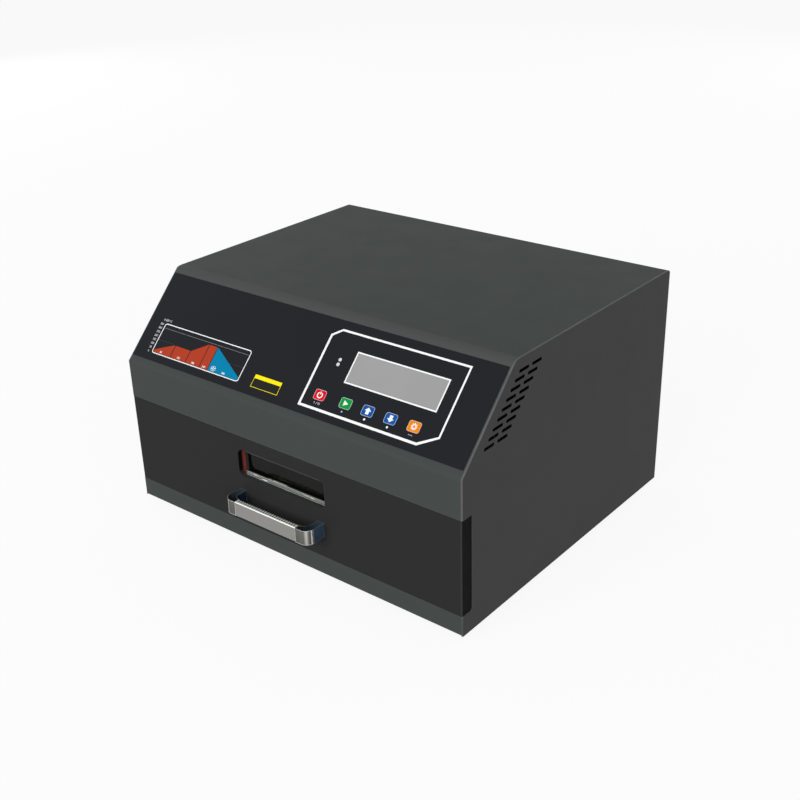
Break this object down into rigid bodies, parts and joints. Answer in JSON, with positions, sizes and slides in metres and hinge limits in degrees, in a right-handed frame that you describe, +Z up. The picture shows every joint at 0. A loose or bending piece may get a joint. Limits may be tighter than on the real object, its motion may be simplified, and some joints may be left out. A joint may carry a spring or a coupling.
{
  "type": "reflow oven",
  "caption": "Bench-top infrared reflow oven with a sloping control panel, a windowed pull-out drawer on telescopic slides, quartz lamps and a rear exhaust fan.",
  "frame": {"origin": "middle of the oven's footprint, handle and rear guard included, on the surface its feet stand on", "axes": "+X to the oven's right as its user faces it, +Y to the back, +Z up; the drawer opens towards -Y"},
  "size_m": [0.37, 0.335, 0.214],
  "materials": {
    "cover_paint": "fine-texture dark grey-green powder coat",
    "drawer_paint": "fine-texture near-black powder coat",
    "panel_paint": "dark grey powder coat",
    "zinc_steel": "zinc-plated sheet steel",
    "bright_steel": "bright rolled stainless steel",
    "handle_chrome": "polished chrome plating",
    "grip_aluminium": "satin anodised",
    "dark_screws": "black oxide",
    "zinc_screws": "zinc plated",
    "foot_rubber": "matte",
    "wool": "ceramic fibre blanket",
    "dark_wool": "mineral fibre board",
    "quartz": "clear quartz",
    "filament": "resistance wire",
    "ceramic_white": "matte steatite",
    "fan_plastic": "glass-filled black plastic",
    "overlay_film": "printed polycarbonate film, slight texture",
    "display_lens": "grey tinted window",
    "display_metal": "display bezel",
    "board_green": "glass-epoxy circuit board",
    "part_black": "moulded component cases",
    "led_lens": "clear diffused",
    "key_red": "printed key",
    "key_green": "printed key",
    "key_blue": "printed key",
    "key_orange": "printed key",
    "brass_posts": "nickel-washed brass",
    "laminated_steel": "varnished laminations",
    "coil_wrap": "polyester tape over copper",
    "sink_aluminium": "extruded",
    "ribbon_grey": "ribbon cable insulation",
    "inlet_black": "moulded nylon",
    "pin_nickel": "nickel plated",
    "window_clear": "tempered borosilicate",
    "seal_red": "red silicone",
    "seal_dark": "graphite-grey braided seal"
  },
  "bodies": {
    "casing": {"outer_cover": "cover_paint", "base_pan": "cover_paint", "rear_panel": "panel_paint", "case_screws": "dark_screws", "rubber_feet": "foot_rubber", "foot_screws": "zinc_screws", "chamber_shell": "zinc_steel", "chamber_insulation": "wool", "lamp_reflector": "bright_steel", "lamp_tubes": "quartz", "lamp_filaments": "filament", "lamp_end_caps": "ceramic_white", "lamp_brackets": "zinc_steel", "thermocouple": "bright_steel", "exhaust_duct": "zinc_steel", "fan_frame": "fan_plastic", "fan_guard": "bright_steel", "fan_screws": "dark_screws", "control_overlay": "overlay_film", "display_window": "display_lens", "display_module": "display_metal", "control_board": "board_green", "key_switches": "part_black", "indicator_leds": "led_lens", "board_standoffs": "brass_posts", "service_shelf": "zinc_steel", "power_board": "board_green", "power_components": "part_black", "heat_sink": "sink_aluminium", "transformer_core": "laminated_steel", "transformer_coil": "coil_wrap", "ribbon_cable": "ribbon_grey", "mains_inlet": "inlet_black", "inlet_pins": "pin_nickel", "switch_body": "inlet_black", "slide_outer_rails": "zinc_steel"},
    "drawer": {"slide_inner_rails": "zinc_steel", "drawer_front": "drawer_paint", "drawer_liner": "zinc_steel", "drawer_insulation": "dark_wool", "window_glass": "window_clear", "window_gasket": "seal_red", "window_trim": "bright_steel", "handle_grip": "grip_aluminium", "handle_bracket_left": "handle_chrome", "handle_bracket_right": "handle_chrome", "handle_screws": "dark_screws", "drawer_frame": "zinc_steel", "tray": "bright_steel", "door_seal": "seal_dark"},
    "left_middle_rail": {"slide_middle_left": "zinc_steel"},
    "right_middle_rail": {"slide_middle_right": "zinc_steel"},
    "rotor": {"fan_rotor": "fan_plastic"},
    "rocker": {"switch_rocker": "part_black"},
    "key_power_cap": {"key_power": "key_red"},
    "key_start_cap": {"key_start": "key_green"},
    "key_up_cap": {"key_up": "key_blue"},
    "key_down_cap": {"key_down": "key_blue"},
    "key_set_cap": {"key_set": "key_orange"}
  },
  "joints": [
    {"name": "drawer_slide", "type": "slide", "parent": "casing", "child": "drawer", "axis": [0, -1, 0], "range_m": [0, 0.21]},
    {"name": "left_rail_slide", "type": "slide", "parent": "casing", "child": "left_middle_rail", "axis": [0, -1, 0], "range_m": [0, 0.105]},
    {"name": "right_rail_slide", "type": "slide", "parent": "casing", "child": "right_middle_rail", "axis": [0, -1, 0], "range_m": [0, 0.105]},
    {"name": "fan_spin", "type": "hinge", "parent": "casing", "child": "rotor", "pos_m": [-0.095, 0.1487, 0.078], "axis": [0, 1, 0], "continuous": true},
    {"name": "rocker_tip", "type": "hinge", "parent": "casing", "child": "rocker", "pos_m": [0.11, 0.16, 0.094], "axis": [1, 0, 0], "range_deg": [0, 18]},
    {"name": "key_power_press", "type": "slide", "parent": "casing", "child": "key_power_cap", "axis": [0, 0.7173, -0.6968], "range_m": [0, 0.0004], "stiffness_N_per_m": 1500, "springref_m": -0.0002},
    {"name": "key_start_press", "type": "slide", "parent": "casing", "child": "key_start_cap", "axis": [0, 0.7173, -0.6968], "range_m": [0, 0.0004], "stiffness_N_per_m": 1500, "springref_m": -0.0002},
    {"name": "key_up_press", "type": "slide", "parent": "casing", "child": "key_up_cap", "axis": [0, 0.7173, -0.6968], "range_m": [0, 0.0004], "stiffness_N_per_m": 1500, "springref_m": -0.0002},
    {"name": "key_down_press", "type": "slide", "parent": "casing", "child": "key_down_cap", "axis": [0, 0.7173, -0.6968], "range_m": [0, 0.0004], "stiffness_N_per_m": 1500, "springref_m": -0.0002},
    {"name": "key_set_press", "type": "slide", "parent": "casing", "child": "key_set_cap", "axis": [0, 0.7173, -0.6968], "range_m": [0, 0.0004], "stiffness_N_per_m": 1500, "springref_m": -0.0002}
  ],
  "couplings": [
    {"joint": "left_rail_slide", "follows": "drawer_slide", "ratio": 0.5},
    {"joint": "right_rail_slide", "follows": "drawer_slide", "ratio": 0.5}
  ]
}
